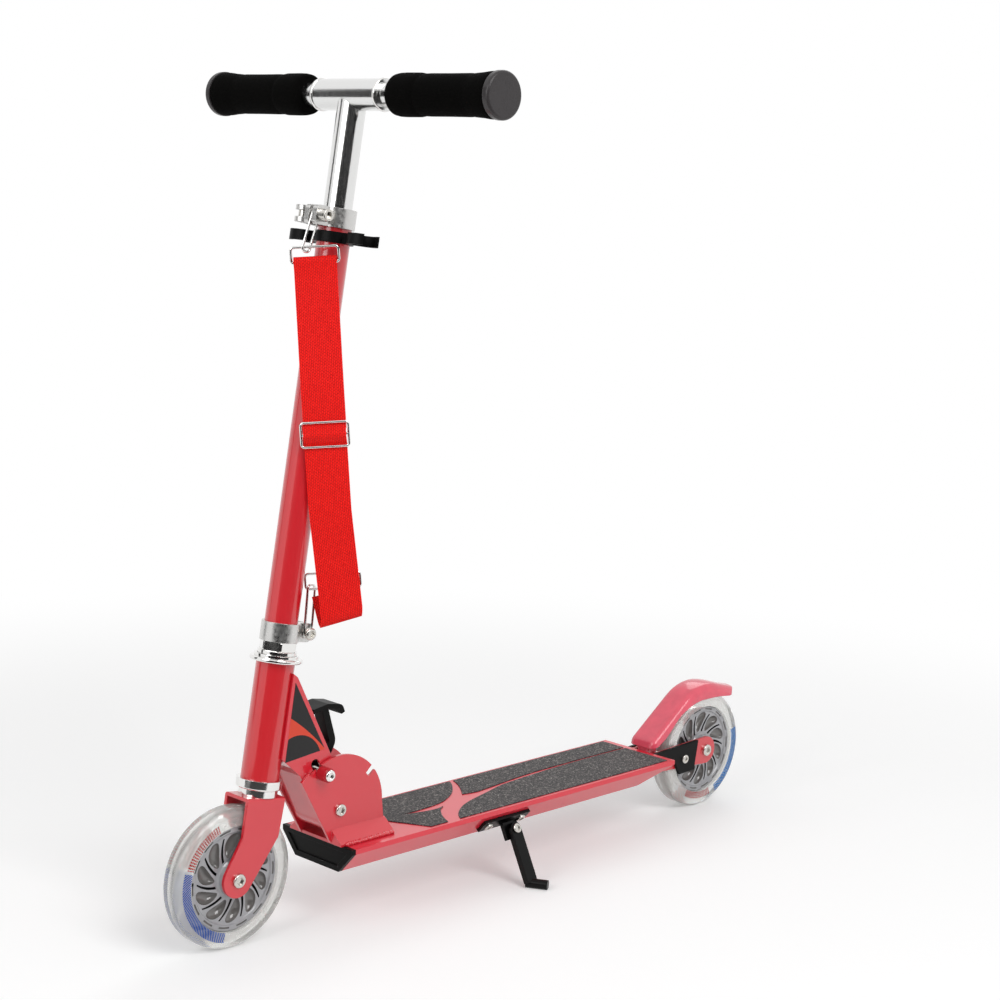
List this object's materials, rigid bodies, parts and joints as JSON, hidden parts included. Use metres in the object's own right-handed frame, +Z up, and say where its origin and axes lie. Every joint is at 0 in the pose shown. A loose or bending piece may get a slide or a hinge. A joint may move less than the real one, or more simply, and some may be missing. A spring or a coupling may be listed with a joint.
{
  "type": "kick scooter",
  "caption": "Folding kick scooter for a child: tapered deck, raked steering column with T handlebar, clear wheels, fender brake, kickstand and carrying strap.",
  "frame": {"origin": "on the ground, midway between the two axles, in the middle plane", "axes": "+X forward, +Y to the rider's left (the kickstand's side), +Z up"},
  "size_m": [0.73, 0.348, 0.7197],
  "materials": {
    "red_paint": "gloss",
    "red_tube_paint": "gloss",
    "deck_paint": "gloss paint",
    "chrome": "polished",
    "zinc": "zinc plated",
    "silver_alloy": "satin",
    "black_plastic": "satin",
    "dark_cap": "gloss",
    "red_plastic": "gloss",
    "foam": "matt foam",
    "clear_tyre": "translucent gloss",
    "wheel_core": "translucent",
    "tape": "grit",
    "webbing": "woven",
    "cord": "braided"
  },
  "bodies": {
    "deck": {"deck_extrusion": "deck_paint", "grip_tape": "tape", "nose_cap": "black_plastic", "deck_screws": "zinc", "hinge_bracket": "red_paint", "pivot_bolt": "zinc", "rear_dropouts": "red_paint", "rear_side_covers": "black_plastic", "cover_screws": "zinc", "rear_axle": "zinc", "brake_pin": "zinc", "brake_spring": "zinc", "kickstand_bracket": "black_plastic", "kickstand_bolts": "zinc"},
    "head": {"head_tube": "red_paint", "neck_box": "red_paint", "pivot_sleeve": "zinc", "headset_lower_cup": "chrome", "headset_upper_cup": "chrome", "headset_balls": "chrome", "lock_spring": "zinc"},
    "lock": {"lock_rod": "zinc", "lock_sleeves": "red_plastic", "lock_bolts": "chrome", "lock_lever": "black_plastic"},
    "steering": {"fork": "red_paint", "steerer_tube": "zinc", "headset_races": "chrome", "front_axle": "zinc", "headset_nut": "chrome", "lower_clamp": "silver_alloy", "lower_clamp_bolt": "zinc", "steering_tube": "red_tube_paint", "quick_release_clamp": "silver_alloy", "quick_release_bolt": "zinc", "grip_holder_clip": "black_plastic", "strap": "webbing", "strap_hooks": "chrome", "strap_slider": "chrome"},
    "release_lever": {"quick_release_lever": "chrome"},
    "handlebar": {"t_tube": "chrome", "t_sleeve": "chrome", "t_tube_plug": "black_plastic", "shock_cord": "cord"},
    "left_handle": {"left_arm": "chrome", "left_grip": "foam", "left_end_cap": "dark_cap"},
    "right_handle": {"right_arm": "chrome", "right_grip": "foam", "right_end_cap": "dark_cap"},
    "left_snap": {"left_button": "chrome"},
    "right_snap": {"right_button": "chrome"},
    "front_wheel": {"front_tyre": "clear_tyre", "front_wheel_core": "wheel_core", "front_bearings": "zinc"},
    "rear_wheel": {"rear_tyre": "clear_tyre", "rear_wheel_core": "wheel_core", "rear_bearings": "zinc"},
    "brake": {"brake_fender": "red_plastic"},
    "kickstand": {"kickstand_leg": "black_plastic"}
  },
  "joints": [
    {"name": "fold", "type": "hinge", "parent": "deck", "child": "head", "pos_m": [0.201, 0, 0.1005], "axis": [0, -1, 0], "range_deg": [0, 81]},
    {"name": "lock_lift", "type": "slide", "parent": "head", "child": "lock", "axis": [0.503, 0, 0.8643], "range_m": [0, 0.009], "stiffness_N_per_m": 700, "springref_m": -0.012, "deforming": ["lock_spring"]},
    {"name": "steer", "type": "hinge", "parent": "head", "child": "steering", "pos_m": [0.26905, 0, 0.15888], "axis": [-0.1495, 0, 0.9888], "range_deg": [-110, 110]},
    {"name": "front_wheel_spin", "type": "hinge", "parent": "steering", "child": "front_wheel", "pos_m": [0.305, 0, 0.06], "axis": [0, 1, 0], "continuous": true},
    {"name": "release_lever_turn", "type": "hinge", "parent": "steering", "child": "release_lever", "pos_m": [0.22435, -0.015, 0.6032], "axis": [-0.1495, 0, 0.9888], "range_deg": [0, 130]},
    {"name": "height", "type": "slide", "parent": "steering", "child": "handlebar", "axis": [-0.1495, 0, 0.9888], "range_m": [-0.07, 0.1]},
    {"name": "left_pull", "type": "slide", "parent": "handlebar", "child": "left_handle", "axis": [0, 1, 0], "range_m": [0, 0.04], "deforming": ["shock_cord"]},
    {"name": "right_pull", "type": "slide", "parent": "handlebar", "child": "right_handle", "axis": [0, -1, 0], "range_m": [0, 0.04], "deforming": ["shock_cord"]},
    {"name": "left_snap_press", "type": "slide", "parent": "left_handle", "child": "left_snap", "axis": [0.9888, 0, 0.1495], "range_m": [0, 0.004], "stiffness_N_per_m": 600, "springref_m": -0.003},
    {"name": "right_snap_press", "type": "slide", "parent": "right_handle", "child": "right_snap", "axis": [0.9888, 0, 0.1495], "range_m": [0, 0.004], "stiffness_N_per_m": 600, "springref_m": -0.003},
    {"name": "rear_wheel_spin", "type": "hinge", "parent": "deck", "child": "rear_wheel", "pos_m": [-0.305, 0, 0.06], "axis": [0, 1, 0], "continuous": true},
    {"name": "brake_press", "type": "hinge", "parent": "deck", "child": "brake", "pos_m": [-0.231, 0, 0.066], "axis": [0, -1, 0], "range_deg": [0, 3.5], "stiffness_Nm_per_rad": 4, "springref_deg": -5.73},
    {"name": "kickstand_swing", "type": "hinge", "parent": "deck", "child": "kickstand", "pos_m": [0.009, 0.0418, 0.0476], "axis": [0, 0.8854, 0.4648], "range_deg": [0, 80]}
  ]
}
